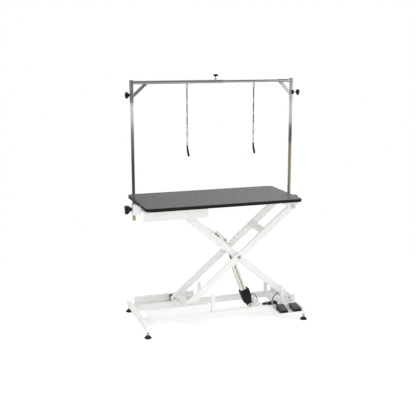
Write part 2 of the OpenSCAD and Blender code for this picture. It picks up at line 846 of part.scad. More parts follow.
// A mains plug that lies beside the coil and points to -X, with its strain relief and two round pins
module mains_plug() {
    color(black) translate(plug_at) rotate([0, -90, 0]) {
        translate([0, 0, -36]) cylinder(h = 36.5, d1 = 8, d2 = 14);
        translate([-12, -17, 0]) cube([24, 34, 34]);
        translate([0, 0, 34]) cylinder(h = 4, d = 30);
    }
    color(zinc) translate(plug_at) rotate([0, -90, 0]) for (s = [-1, 1])
        translate([0, s * 9.5, 37.9]) cylinder(h = 19, d = 4.8);
}

// ---------- assembly ----------

base_end_bar_left();
base_end_bar_right();
base_rail_front();
base_rail_rear();
base_cross_members();
base_channels();
foot_left_front();
foot_left_rear();
foot_right_front();
foot_right_rear();
arm_a_front();
arm_a_rear();
arm_a_cross_tubes();
arm_a_pins();
arm_b_front();
arm_b_rear();
arm_b_cross_tube();
arm_b_pins();
lever_bracket();
roller_low_front();
roller_low_rear();
roller_high_front();
roller_high_rear();
table_frame();
table_channels();
tabletop_board();
tabletop_mat();
tabletop_trim();
post_socket_left();
post_socket_right();
post_left();
post_right();
corner_left();
corner_right();
crossbar_outer();
crossbar_inner();
knob_socket_left();
knob_socket_right();
knob_corner_left();
knob_corner_right();
knob_crossbar();
noose_hook_left();
noose_hook_right();
noose_left();
noose_right();
noose_slider_left();
noose_slider_right();
actuator_motor();
actuator_body();
actuator_rod();
pedal_tray();
pedal_left();
pedal_right();
switch_blocks();
motor_lead();
cable_hank();
switch_lead();
mains_lead();
mains_coil();
mains_plug();
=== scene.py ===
"""Looks of an electric scissor-lift grooming table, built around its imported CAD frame."""

import json
from math import atan2, copysign, cos, hypot, pi, radians, sin, sqrt, tan

import bmesh
import bpy
from mathutils import Matrix, Vector


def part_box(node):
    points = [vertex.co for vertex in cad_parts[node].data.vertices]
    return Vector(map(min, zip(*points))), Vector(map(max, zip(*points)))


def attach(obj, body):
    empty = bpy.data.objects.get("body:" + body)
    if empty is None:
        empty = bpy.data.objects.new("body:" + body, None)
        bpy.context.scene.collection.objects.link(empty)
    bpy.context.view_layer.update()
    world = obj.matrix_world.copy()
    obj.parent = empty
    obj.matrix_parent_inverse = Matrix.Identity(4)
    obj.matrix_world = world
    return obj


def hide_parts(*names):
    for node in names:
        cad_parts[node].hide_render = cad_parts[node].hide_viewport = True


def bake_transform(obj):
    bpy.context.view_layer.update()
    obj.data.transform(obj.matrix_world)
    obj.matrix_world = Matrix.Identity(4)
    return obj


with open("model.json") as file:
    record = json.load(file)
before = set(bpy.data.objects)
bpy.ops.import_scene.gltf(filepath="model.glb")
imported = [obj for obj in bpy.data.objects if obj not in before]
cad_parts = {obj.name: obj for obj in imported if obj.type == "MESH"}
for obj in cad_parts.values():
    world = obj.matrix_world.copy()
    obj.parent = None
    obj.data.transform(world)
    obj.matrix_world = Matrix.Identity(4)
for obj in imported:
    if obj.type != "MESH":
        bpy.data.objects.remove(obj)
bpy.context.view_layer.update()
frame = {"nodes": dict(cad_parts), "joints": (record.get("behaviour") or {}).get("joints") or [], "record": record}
nodes = frame["nodes"]
joints = {joint["name"]: joint for joint in frame["joints"]}
body_of = {node: body for body, names in frame["record"]["behaviour"]["bodies"].items() for node in names}

scene = bpy.context.scene

MM = 0.001


def joint_at(name):
    return Vector(joints[name]["pos_m"])


def mm(x, y, z):
    """A point in metres from millimetres."""
    return Vector((x, y, z)) * MM


def shift(x, y, z):
    """A matrix that moves by millimetres."""
    return Matrix.Translation(mm(x, y, z))


def turned(degrees, axis):
    return Matrix.Rotation(radians(degrees), 4, axis)


def new_node(tree, kind, **properties):
    made = tree.nodes.new(kind)
    for key, value in properties.items():
        setattr(made, key, value)
    return made


def set_inputs(made, **values):
    """Sets a node's inputs by name, with _ for a space in the name."""
    for name, value in values.items():
        made.inputs[name.replace("_", " ")].default_value = value


def fill_ramp(made, stops):
    """Gives a colour ramp node its (position, colour) stops."""
    elements = made.color_ramp.elements
    while len(elements) < len(stops):
        elements.new(0.5)
    for element, (position, color) in zip(elements, stops):
        element.position = position
        element.color = (*color, 1.0)


# --- materials ---


class Shader:
    """A material around one Principled BSDF, with its texture nodes in object space."""

    def __init__(self, name, color, roughness, metallic=0.0, **sockets):
        self.material = bpy.data.materials.new(name)
        self.material.use_nodes = True
        self.tree = self.material.node_tree
        self.main = self.tree.nodes["Principled BSDF"]
        self.color = color
        set_inputs(self.main, Base_Color=(*color, 1.0), Roughness=roughness, Metallic=metallic, **sockets)
        self.coordinates = self.node("ShaderNodeTexCoord")

    def node(self, kind, **properties):
        return new_node(self.tree, kind, **properties)

    def link(self, source, target):
        self.tree.links.new(source, target)

    def texture(self, kind, size, output, space="Object", stretch=(1, 1, 1), **inputs):
        """A texture whose features are about size metres wide, stretched along the object's axes."""
        mapping = self.node("ShaderNodeMapping")
        set_inputs(mapping, Scale=stretch)
        made = self.node(kind)
        set_inputs(made, Scale=1 / size, **inputs)
        self.link(self.coordinates.outputs[space], mapping.inputs["Vector"])
        self.link(mapping.outputs["Vector"], made.inputs["Vector"])
        return made.outputs[output]

    def noise(self, size, **settings):
        return self.texture("ShaderNodeTexNoise", size, "Fac", **settings)

    def cells(self, size, **settings):
        return self.texture("ShaderNodeTexVoronoi", size, "Distance", **settings)

    def ramp(self, source, *stops):
        """Stops are (position, colour) pairs."""
        made = self.node("ShaderNodeValToRGB")
        fill_ramp(made, stops)
        self.link(source, made.inputs["Fac"])
        return made.outputs["Color"]

    def vary_color(self, source, low=0.85, high=1.1, start=0.3, end=0.7):
        dark = tuple(low * c for c in self.color)
        light = tuple(min(1.0, high * c) for c in self.color)
        self.link(self.ramp(source, (start, dark), (end, light)), self.main.inputs["Base Color"])
        return self

    def vary_roughness(self, source, low, high):
        spread = self.node("ShaderNodeMapRange")
        set_inputs(spread, From_Min=0.3, From_Max=0.7, To_Min=low, To_Max=high)
        self.link(source, spread.inputs["Value"])
        self.link(spread.outputs["Result"], self.main.inputs["Roughness"])
        return self

    def bump(self, *layers):
        """Layers are (source, height in metres) pairs."""
        normal = None
        for source, height in layers:
            made = self.node("ShaderNodeBump")
            set_inputs(made, Strength=1.0, Distance=height)
            self.link(source, made.inputs["Height"])
            if normal:
                self.link(normal, made.inputs["Normal"])
            normal = made.outputs["Normal"]
        self.link(normal, self.main.inputs["Normal"])
        return self


def powder_coat():
    s = Shader("powder_coat", (0.84, 0.84, 0.83), 0.4, Specular_IOR_Level=0.2)
    s.vary_color(s.noise(0.22, Detail=3.0), 0.98, 1.02)
    s.vary_roughness(s.noise(0.03, Detail=4.0), 0.36, 0.46)
    return s.bump((s.noise(0.0024, Detail=2.0), 0.00003), (s.noise(0.02), 0.00004)).material


def chrome():
    s = Shader("chrome_tube", (0.8, 0.8, 0.795), 0.04, 1.0)
    s.vary_roughness(s.noise(0.012, Detail=5.0), 0.015, 0.035)
    return s.bump((s.noise(0.06, stretch=(1, 1, 0.25)), 0.00001)).material


def plated(name, color, roughness, metallic, shades, polish, patch=0.006, grain=0.0012):
    """Plated steel, blotchy within the given ranges of shade and roughness."""
    s = Shader(name, color, roughness, metallic)
    s.vary_color(s.noise(patch, Detail=4.0), *shades)
    s.vary_roughness(s.noise(0.004, Detail=4.0), *polish)
    return s.bump((s.noise(grain), 0.00004)).material


def moulded(name, color, roughness, grain=0.0009, height=0.00005, gloss=0.3):
    """Moulded plastic or rubber with a fine spark-eroded grain."""
    s = Shader(name, (color, color, color * 1.02), roughness, Specular_IOR_Level=gloss)
    s.vary_color(s.noise(0.03, Detail=4.0), 0.82, 1.2)
    s.vary_roughness(s.noise(0.01, Detail=3.0), roughness - 0.06, roughness + 0.08)
    return s.bump((s.cells(grain), height), (s.noise(0.008), height)).material


def mat_rubber():
    s = Shader("mat_rubber", (0.075, 0.074, 0.077), 0.46, Specular_IOR_Level=0.55)
    s.vary_color(s.noise(0.16, Detail=5.0), 0.92, 1.08)
    s.vary_roughness(s.noise(0.05, Detail=4.0), 0.46, 0.56)
    return s.bump((s.cells(0.0034), 0.00012), (s.noise(0.0012), 0.00003)).material


def plywood():
    s = Shader("board_wood", (0.78, 0.71, 0.62), 0.62)
    grain = s.noise(0.012, Detail=6.0, stretch=(0.08, 1, 1))
    s.vary_color(grain, 0.88, 1.08)
    plies = s.texture("ShaderNodeTexWave", 0.02, "Fac", stretch=(0, 0, 1), Distortion=0.6)
    return s.bump((grain, 0.00012), (plies, 0.0001)).material


def anodised():
    s = Shader("anodised_body", (0.88, 0.85, 0.79), 0.42, 0.1)
    s.vary_color(s.noise(0.05, Detail=3.0), 0.92, 1.06)
    s.vary_roughness(s.noise(0.002, stretch=(1, 1, 0.1)), 0.3, 0.46)
    return s.bump((s.noise(0.0016, stretch=(1, 1, 0.05)), 0.00003)).material


def braided_cord():
    """Black nylon braid with a pale tracer yarn that winds round it; UVs run along the cord in metres."""
    s = Shader("noose_cord", (0.03, 0.03, 0.03), 0.7, Specular_IOR_Level=0.3)
    parts = s.node("ShaderNodeSeparateXYZ")
    s.link(s.coordinates.outputs["UV"], parts.inputs["Vector"])
    turns = s.node("ShaderNodeMath", operation="MULTIPLY_ADD")
    tracer_pitch = 0.027
    turns.inputs[1].default_value = 1 / tracer_pitch
    s.link(parts.outputs["X"], turns.inputs[0])
    s.link(parts.outputs["Y"], turns.inputs[2])
    phase = s.node("ShaderNodeMath", operation="FRACT")
    s.link(turns.outputs["Value"], phase.inputs[0])
    black, pale = (0.014, 0.014, 0.015), (0.45, 0.43, 0.4)
    tracer = [(0.0, black), (0.86, black), (0.89, pale), (0.94, pale), (0.97, black)]
    s.link(s.ramp(phase.outputs["Value"], *tracer), s.main.inputs["Base Color"])
    weave = s.texture("ShaderNodeTexChecker", 1.0, "Fac", space="UV", stretch=(900, 12, 1))
    return s.bump((weave, 0.0002), (s.noise(0.0006), 0.00008)).material


def clear_vinyl():
    s = Shader("clear_sleeve", (0.8, 0.81, 0.81), 0.22, Transmission_Weight=0.35, IOR=1.4)
    s.vary_color(s.noise(0.012, Detail=4.0), 0.85, 1.2)
    s.vary_roughness(s.noise(0.005), 0.16, 0.32)
    return s.bump((s.noise(0.004, stretch=(1, 1, 0.3)), 0.00012)).material


def rubber_lead():
    s = Shader("lead_rubber", (0.024, 0.024, 0.025), 0.42)
    s.vary_color(s.noise(0.02, Detail=4.0), 0.75, 1.35)
    s.vary_roughness(s.noise(0.006), 0.34, 0.52)
    return s.bump((s.noise(0.0015), 0.00006)).material


def groove_shadow():
    # The dark colour is painted shade in the recesses of the actuator body's grooves.
    s = Shader("body_groove_painted_shade", (0.2, 0.165, 0.125), 0.5, 0.35)
    s.vary_color(s.noise(0.03, Detail=3.0), 0.8, 1.2)
    return s.bump((s.noise(0.0016, stretch=(1, 1, 0.05)), 0.00003)).material


def pale_floor():
    s = Shader("pale_floor", (0.9, 0.9, 0.9), 0.9, Specular_IOR_Level=0.0)
    set_inputs(s.main, Emission_Color=(1.0, 1.0, 1.0, 1.0), Emission_Strength=0.28)
    s.vary_color(s.noise(0.6, Detail=2.0), 0.995, 1.005)
    return s.bump((s.noise(0.004), 0.00005)).material


POWDER = powder_coat()
CHROME = chrome()
ZINC = plated("zinc_steel", (0.82, 0.75, 0.62), 0.36, 0.7, (0.85, 1.08), (0.22, 0.42))
PALE_ZINC = plated("pale_zinc", (0.72, 0.7, 0.66), 0.45, 0.3, (0.92, 1.05), (0.35, 0.5))
NICKEL = plated("hook_nickel", (0.42, 0.36, 0.28), 0.3, 1.0, (0.75, 1.15), (0.22, 0.4), 0.005, 0.001)
MAT = mat_rubber()
BOARD = plywood()
ANODISED = anodised()
CORD = braided_cord()
VINYL = clear_vinyl()
LEAD = rubber_lead()
GROOVE_SHADE = groove_shadow()
TRIM = moulded("trim_rubber", 0.012, 0.3, 0.0012, 0.00003)
KNOB = moulded("knob_plastic", 0.012, 0.36)
FOOT = moulded("foot_rubber", 0.016, 0.55, 0.0016, 0.00009)
ROLLER = moulded("roller_nylon", 0.02, 0.45)
MOTOR = moulded("motor_plastic", 0.016, 0.46, 0.0014, 0.00006, 0.2)
PEDAL = moulded("pedal_plastic", 0.074, 0.5, 0.0018, 0.00008)
TIE = moulded("tie_strap", 0.3, 0.5)

# --- building ---


def place(piece, body, slot, *replaced):
    """The last step of every piece: its body and the nodes it stands for. The slot is not used."""
    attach(piece, body)
    if replaced:
        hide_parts(*replaced)
    return piece


def link_object(name, mesh, materials):
    piece = bpy.data.objects.new(name, mesh)
    scene.collection.objects.link(piece)
    for material in materials:
        mesh.materials.append(material)
    return piece


def shade(mesh, angle=35):
    mesh.shade_smooth()
    mesh.set_sharp_from_angle(angle=radians(angle))


def new_mesh(name, vertices, faces, material, matrix=None, uvs=None, angle=35):
    mesh = bpy.data.meshes.new(name)
    mesh.from_pydata([tuple(v) for v in vertices], [], faces)
    if uvs:
        layer = mesh.uv_layers.new(name="UVMap")
        for polygon, corners in zip(mesh.polygons, uvs):
            for loop, uv in zip(polygon.loop_indices, corners):
                layer.data[loop].uv = uv
    if matrix:
        mesh.transform(matrix)
    mesh.validate()
    shade(mesh, angle)
    return link_object(name, mesh, [material])


def bevel(piece, width, segments=2, angle=35):
    made = piece.modifiers.new("edges", "BEVEL")
    made.width = width
    made.segments = segments
    made.limit_method = "ANGLE"
    made.angle_limit = radians(angle)
    made.harden_normals = True
    made.use_clamp_overlap = True
    return piece


def soft_edges(node, width, material, slot, second=None, is_second=None):
    """A copy of a CAD node with clean faces and rounded edges. Faces where is_second(centre)
    holds take the second material."""
    source = nodes[node].data
    mesh = source.copy()
    mesh.materials.clear()
    piece = link_object(node + "_skin", mesh, [material] + ([second] if second else []))
    work = bmesh.new()
    work.from_mesh(mesh)
    bmesh.ops.remove_doubles(work, verts=work.verts, dist=0.00001)
    for face in work.faces:
        face.material_index = 1 if second and is_second(face.calc_center_median()) else 0
    bmesh.ops.dissolve_limit(
        work, angle_limit=radians(0.5), verts=work.verts, edges=work.edges, delimit={"MATERIAL"},
    )
    work.to_mesh(mesh)
    work.free()
    if mesh.has_custom_normals:
        mesh.attributes.remove(mesh.attributes["custom_normal"])
    shade(mesh)
    if width:
        bevel(piece, width)
    return place(piece, body_of[node], slot, node)


def join(name, pieces):
    """One object from several, with their modifiers applied."""
    bpy.context.view_layer.update()
    graph = bpy.context.evaluated_depsgraph_get()
    work = bmesh.new()
    materials = []
    for piece in pieces:
        mesh = bpy.data.meshes.new_from_object(piece.evaluated_get(graph))
        mesh.transform(piece.matrix_world)
        first = len(work.faces)
        work.from_mesh(mesh)
        work.faces.ensure_lookup_table()
        for face in work.faces[first:]:
            material = piece.data.materials[face.material_index]
            if material not in materials:
                materials.append(material)
            face.material_index = materials.index(material)
    mesh = bpy.data.meshes.new(name)
    work.to_mesh(mesh)
    work.free()
    for piece in pieces:
        bpy.data.objects.remove(piece)
    shade(mesh)
    return link_object(name, mesh, materials)


def lathe(name, profile, material, matrix=None, segments=48):
    """Turns (radius, height) points in mm round local Z. A radius of 0 closes the end."""
    vertices, rings = [], []
    for radius, height in profile:
        if radius == 0:
            rings.append([len(vertices)])
            vertices.append(mm(0, 0, height))
            continue
        rings.append(range(len(vertices), len(vertices) + segments))
        for k in range(segments):
            a = 2 * pi * k / segments
            vertices.append(mm(radius * cos(a), radius * sin(a), height))
    faces = []
    for low, high in zip(rings, rings[1:]):
        for k in range(segments):
            n = (k + 1) % segments
            a = [low[0]] if len(low) == 1 else [low[k], low[n]]
            b = [high[0]] if len(high) == 1 else [high[n], high[k]]
            faces.append(a + b)
    return new_mesh(name, vertices, faces, material, matrix)


def smooth_path(points, steps=6):
    """A Catmull-Rom line through the points, steps to each span."""
    points = [Vector(p) for p in points]
    line = []
    for i in range(len(points) - 1):
        a, b = points[max(i - 1, 0)], points[i]
        c, d = points[i + 1], points[min(i + 2, len(points) - 1)]
        for k in range(steps):
            t = k / steps
            line.append(
                0.5 * (2 * b + (c - a) * t + (2 * a - 5 * b + 4 * c - d) * t * t
                       + (3 * b - a - 3 * c + d) * t * t * t)
            )
    return line + [points[-1]]


def sweep(name, path, section, material, closed=False, scale=None, side=None):
    """Sweeps a section of (u, v) points in metres along a path. The u axis starts out towards side, and
    scale(t) resizes the section along the way."""
    count, n = len(path), len(section)
    tangents = []
    for i in range(count):
        before = path[i - 1] if closed or i > 0 else path[0]
        after = path[(i + 1) % count] if closed or i < count - 1 else path[-1]
        tangents.append((after - before).normalized())
    if side is None:
        side = (0, 0, 1) if abs(tangents[0].z) < 0.9 else (1, 0, 0)
    side = Vector(side)
    vertices, lengths, travelled = [], [], 0.0
    for i in range(count):
        side = (side - side.dot(tangents[i]) * tangents[i]).normalized()
        other = tangents[i].cross(side)
        factor = scale(i / (count - 1)) if scale else 1.0
        vertices += [path[i] + factor * (u * side + v * other) for u, v in section]
        travelled += (path[i] - path[i - 1]).length if i else 0.0
        lengths.append(travelled)
    faces, uvs = [], []
    for i in range(count if closed else count - 1):
        j = (i + 1) % count
        far = lengths[j] if j else travelled
        for k in range(n):
            m = (k + 1) % n
            faces.append([i * n + k, i * n + m, j * n + m, j * n + k])
            uvs.append([(lengths[i], k / n), (lengths[i], (k + 1) / n), (far, (k + 1) / n), (far, k / n)])
    if not closed:
        faces += [list(range(n))[::-1], list(range((count - 1) * n, count * n))]
        uvs += [[(0, 0)] * n, [(travelled, 0)] * n]
    return new_mesh(name, vertices, faces, material, uvs=uvs, angle=50)


def circle(radius, n=12):
    angles = [2 * pi * k / n for k in range(n)]
    return [(radius * cos(a), radius * sin(a)) for a in angles]


def ring_faces(rows, n):
    """Faces between rows of n points each, and one on each end."""
    faces = []
    for i in range(rows - 1):
        for k in range(n):
            m = (k + 1) % n
            faces.append([i * n + k, i * n + m, (i + 1) * n + m, (i + 1) * n + k])
    return faces + [list(range(n))[::-1], list(range((rows - 1) * n, rows * n))]


def tube(name, path, diameter, material, sides=12, **settings):
    return sweep(name, path, circle(diameter / 2, sides), material, **settings)


def block(name, size, material, matrix, edge):
    """A box of (x, y, z) mm with rounded edges, its middle at the matrix's origin."""
    work = bmesh.new()
    bmesh.ops.create_cube(work, size=1.0, matrix=Matrix.Diagonal((*mm(*size), 1.0)))
    bmesh.ops.transform(work, matrix=matrix, verts=work.verts)
    mesh = bpy.data.meshes.new(name)
    work.to_mesh(mesh)
    work.free()
    shade(mesh)
    return bevel(link_object(name, mesh, [material]), edge, 3)


def rounded_rectangle(low, high, radius, steps):
    """Points of a rectangle with rounded corners, anticlockwise, with steps spans to each corner."""
    points = []
    for k, (right, upper) in enumerate([(1, 1), (0, 1), (0, 0), (1, 0)]):
        middle_u = high[0] - radius if right else low[0] + radius
        middle_v = high[1] - radius if upper else low[1] + radius
        for step in range(steps + 1):
            a = radians(90 * k + 90 * step / steps)
            points.append((middle_u + radius * cos(a), middle_v + radius * sin(a)))
    return points


def smooth_step(t):
    t = min(1.0, max(0.0, t))
    return t * t * (3 - 2 * t)


# --- camera ---


def add_camera():
    data = bpy.data.cameras.new("camera")
    data.lens = 66.13
    data.sensor_width = 36
    data.clip_end = 40
    camera = bpy.data.objects.new("camera", data)
    scene.collection.objects.link(camera)
    scene.camera = camera
    camera.location = (-1.8556, -5.3563, 2.0362)
    target = Vector((-0.0474, 0.0, 0.8597))
    roll = turned(-0.06, "Z")
    heading = (target - camera.location).to_track_quat("-Z", "Y").to_matrix().to_4x4()
    camera.rotation_euler = (heading @ roll).to_euler()


add_camera()

# --- leads ---

CONTROL_D = 5.5
MAINS_D = 6.5
HANK_X, HANK_Y = 421, -167
HANK_TOP = 117.25
HANK_FOLD = 16.25
HANK_HALF = 22
HANK_PINCH = 4.5
MOTOR_ROUTE = [
    (308, -20, 146), (316, -20, 148), (325, -20, 148), (334, -20, 143), (342, -20, 133), (348, -20, 120),
    (352, -21, 107), (357, -23, 93), (361, -28, 78), (364, -37, 64), (366, -50, 54), (367, -66, 49),
    (367, -83, 49), (366, -100, 54), (364, -114, 62), (361, -126, 73), (358, -136, 86), (357, -143, 98),
    (359, -147, 108), (367, -150, 115), (378, -151, 118),
]
SWITCH_ROUTE = [(459, -174, 102), (459, -181, 101), (460, -187, 98), (461, -190, 92)]
MAINS_ROUTE = [
    (408, -160, 121), (421, -160, 123), (435, -157, 123), (447, -149, 120), (454, -137, 113),
    (456, -123, 105), (455, -109, 101), (454, -96, 104), (457, -86, 112), (465, -80, 122),
    (477, -76, 133), (491, -72, 142), (507, -68, 148), (523, -63, 148), (538, -56, 142),
    (551, -48, 130), (561, -39, 114), (568, -30, 96), (573, -21, 77), (577, -12, 58),
    (580, -2, 39), (582, 9, 22),
]


def hank_path():
    """Three turns of the control lead, each layer under the last, and the start of a fourth. A turn runs
    along the rear side, round the right end, back along the front side and down round the left end."""
    path = []

    def add_side(heading, z):
        for k in range(9):
            x = heading * HANK_HALF * (2 * k / 9 - 1)
            pinch = HANK_PINCH * cos(pi * x / (2 * HANK_HALF)) ** 2
            path.append(mm(HANK_X + x, HANK_Y + heading * (HANK_FOLD - pinch), z))

    def add_end(heading, z, fall=0.0, steps=12):
        for k in range(steps):
            a = radians(180 - 90 * heading - 15 * k)
            x = heading * HANK_HALF + HANK_FOLD * cos(a)
            path.append(mm(HANK_X + x, HANK_Y + HANK_FOLD * sin(a), z - fall * smooth_step(k / 12)))

    for layer in range(3):
        z = HANK_TOP - layer * CONTROL_D
        add_side(1, z)
        add_end(1, z)
        add_side(-1, z)
        add_end(-1, z, CONTROL_D)
    lowest = HANK_TOP - 3 * CONTROL_D
    add_side(1, lowest)
    add_end(1, lowest, steps=6)
    return path


COIL_X, COIL_Y = 538, 31
COIL_MID = 38.5


def coil_path():
    """Three turns on the floor from the outside in, two on top of them from the inside out, and a
    quarter turn away to the plug. A turn changes its place over a part of its length."""
    low, high = MAINS_D / 2, 1.5 * MAINS_D
    radii = [COIL_MID + MAINS_D, COIL_MID, COIL_MID - MAINS_D, COIL_MID - MAINS_D, COIL_MID]
    path = []
    for turn, radius in enumerate(radii):
        for k in range(36):
            a = 10 * k
            r, z = radius, low if turn < 3 else high
            if turn < 2:
                r -= MAINS_D * smooth_step((a - 290) / 70)
            if turn == 2:
                z += MAINS_D * smooth_step((a - 220) / 70)
            if turn == 3:
                r += MAINS_D * smooth_step((a - 140) / 70)
            path.append(coil_point(r, a, z))
    for k in range(10):
        a = 10 * k
        part = smooth_step(a / 90)
        path.append(coil_point(COIL_MID + 10.5 * part, a, high + 5.25 * part))
    return path


def coil_point(radius, degrees, z):
    a = radians(degrees)
    return mm(COIL_X + radius * cos(a), COIL_Y + radius * sin(a), z)


def add_control_lead():
    route = smooth_path([mm(*p) for p in MOTOR_ROUTE] + [mm(390, -150.9, HANK_TOP)], 4)
    path = route + hank_path() + smooth_path([mm(*p) for p in SWITCH_ROUTE], 4)
    lead = tube("control_lead", path, CONTROL_D * MM, LEAD)
    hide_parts("motor_lead", "cable_hank", "switch_lead")
    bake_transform(lead)
    tie = add_tie()


def add_tie():
    """A strap round the hank and the start of the mains lead."""
    loop = rounded_rectangle((-15.4, 97.9), (15.4, 126.6), 5, 4)
    path = [mm(HANK_X - 7, HANK_Y + y, z) for y, z in loop]
    strap = [(-0.0006, -0.007), (0.0006, -0.007), (0.0006, 0.007), (-0.0006, 0.007)]
    tie = sweep("hank_tie", path, strap, TIE, closed=True, side=(0, 1, 0))
    bevel(tie, 0.0003)
    return place(tie, "base", "lead_rubber")


def add_mains_lead():
    route = smooth_path([mm(*p) for p in MAINS_ROUTE] + [mm(583, 20, 9.5)], 4)
    path = route + coil_path()[1:] + [mm(532, 80, 15), mm(526, 80, 15), mm(519, 80, 15)]
    lead = tube("mains_lead_cord", path, MAINS_D * MM, LEAD)
    place(lead, "base", "lead_rubber", "mains_lead", "mains_coil")
    plug = add_plug()


def add_plug():
    """A moulded two-pin plug with a ribbed strain relief, lying on the floor and pointing to -X."""
    at = shift(484, 80, 15) @ turned(-90, "Y")
    relief = [(0, -36.5), (4.2, -36.5)]
    for k in range(6):
        radius, z = 4.4 + 0.4 * k, -35 + 5.4 * k
        relief += [(radius, z), (radius + 0.8, z + 0.6), (radius + 0.8, z + 3), (radius, z + 3.6)]
    relief += [(7.2, -2), (9, 2), (0, 3)]
    parts = [lathe("relief", relief, LEAD, at, 24)]
    stations = [(-1, 8.5, 7.5), (2, 12, 10), (12, 15, 11.5), (26, 16.5, 12), (33, 17, 12), (37.5, 15.5, 11.5)]
    parts.append(loft("body", stations, KNOB, at))
    for side in (-1, 1):
        pin = at @ shift(0, side * 9.5, 0)
        parts.append(lathe("pin_boot", [(0, 36), (3.2, 36), (3.2, 40), (0, 40)], KNOB, pin, 20))
        pin_profile = [(2.4, 39), (2.4, 54.5), (1.9, 56.2), (0, 56.9)]
        parts.append(lathe("pin", [(0, 39)] + pin_profile, ZINC, pin, 20))
    return place(join("plug_moulding", parts), "base", "lead_rubber", "mains_plug")


def loft(name, stations, material, matrix, power=4.0, n=40):
    """A closed form through super-ellipses: stations are (z, half width along Y, half height along X)."""
    vertices = []
    for z, half_y, half_x in stations:
        for k in range(n):
            a = 2 * pi * k / n
            c, s = cos(a), sin(a)
            x = half_x * copysign(abs(c) ** (2 / power), c)
            y = half_y * copysign(abs(s) ** (2 / power), s)
            vertices.append(mm(x, y, z))
    return new_mesh(name, vertices, ring_faces(len(stations), n), material, matrix)


add_control_lead()
add_mains_lead()

# --- steel work ---


def on_lower_pin(p):
    """Tells whether a point is on the pin that carries the actuator, where it stands out of its lugs."""
    pivot = joint_at("actuator_tilt")
    near = hypot(p.x - pivot.x, p.z - pivot.z) < 0.011
    return near and not 0.0129 <= abs(p.y) <= 0.0191


def add_steel():
    white = [
        "base_end_bar_left", "base_end_bar_right", "base_rail_front", "base_rail_rear",
        "arm_a_front", "arm_a_rear", "arm_a_cross_tubes", "arm_b_front", "arm_b_rear", "arm_b_cross_tube",
        "table_frame", "pedal_tray",
    ]
    for node in white:
        soft_edges(node, 0.0008, POWDER, "powder_coat")
    for node in ("base_channels", "table_channels"):
        soft_edges(node, 0.0012, POWDER, "powder_coat")
    soft_edges("base_cross_members", 0.0008, POWDER, "powder_coat", ZINC, on_lower_pin)
    soft_edges("lever_bracket", 0.0008, POWDER, "powder_coat", ZINC, lambda p: abs(p.y) > 0.0301)
    soft_edges("arm_a_pins", 0.0006, ZINC, "zinc_steel", PALE_ZINC, lambda p: p.x > 0.3)
    soft_edges("arm_b_pins", 0.0006, PALE_ZINC, "zinc_steel")
    for node in ("post_socket_left", "post_socket_right"):
        soft_edges(node, 0.001, POWDER, "powder_coat", ZINC, lambda p: abs(p.x) < 0.5759)


def add_stub_caps():
    """White plastic plugs in the open ends of the frame's four end stubs."""
    stub_x, stub_z = 556, 908.5
    low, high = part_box("table_frame")
    for x in (-stub_x, stub_x):
        for side, y in (("front", low.y), ("rear", high.y)):
            at = Matrix.Translation((x * MM, y, stub_z * MM))
            cap = block(f"stub_cap_{side}_{x}", (24.6, 3.2, 28.6), POWDER, at, 0.0012)
            place(cap, "table", "powder_coat")


add_stub_caps()


def add_chrome():
    """The tubes of the bracket. The caps and knob bosses on its corners are black."""
    sleeve_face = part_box("post_right")[1].x + 0.0028
    for node in ("post_left", "post_right", "crossbar_outer", "crossbar_inner"):
        soft_edges(node, 0.0004, CHROME, "chrome_tube")
    for node in ("corner_left", "corner_right"):
        cap_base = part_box(node)[1].z - 0.0031
        soft_edges(
            node, 0.0005, CHROME, "chrome_tube", KNOB, lambda p: p.z > cap_base or abs(p.x) > sleeve_face,
        )


add_steel()
add_chrome()


def add_welds():
    """Fillet welds where the parts of the base meet, as uneven beads."""
    rail_low, rail_high = 50.5, 95.5
    bead_z = 98.3
    for side in (-1, 1):
        for x in (-590, 610):
            weld_x = x + 0.5 if x < 0 else x - 0.5
            for y in (155, 180):
                ends = [(weld_x, side * y, rail_low), (weld_x, side * y, rail_high)]
                weld_bead(f"weld_end_{x}_{side * y}", ends)
        for x in (-65, 503):
            left, right, near, far = x - 12.5, x + 12.5, side * 155, side * 180
            ring = [(left, near), (left, far), (right, far), (right, near)]
            for k in range(4):
                ends = [(*ring[k], bead_z), (*ring[(k + 1) % 4], bead_z)]
                weld_bead(f"weld_stop_{x}_{side}_{k}", ends)
        for x in (311, 351, 500, 550):
            ends = [(x, side * 154.5, rail_low), (x, side * 154.5, rail_high)]
            weld_bead(f"weld_cross_{x}_{side}", ends)
        for y in (122, 128):
            weld_bead(f"weld_lug_{side * y}", [(507, side * y, bead_z), (549, side * y, bead_z)])


def weld_bead(name, ends):
    a, b = (mm(*p) for p in ends)
    steps = max(6, int((b - a).length / 0.0022))
    path = [a.lerp(b, k / steps) for k in range(steps + 1)]
    bead = tube(name, path, 0.0042, POWDER, 8, scale=lambda t: 0.85 + 0.18 * abs(sin(t * steps * 1.1)))
    place(bead, "base", "powder_coat")


add_welds()

# --- feet and rollers ---


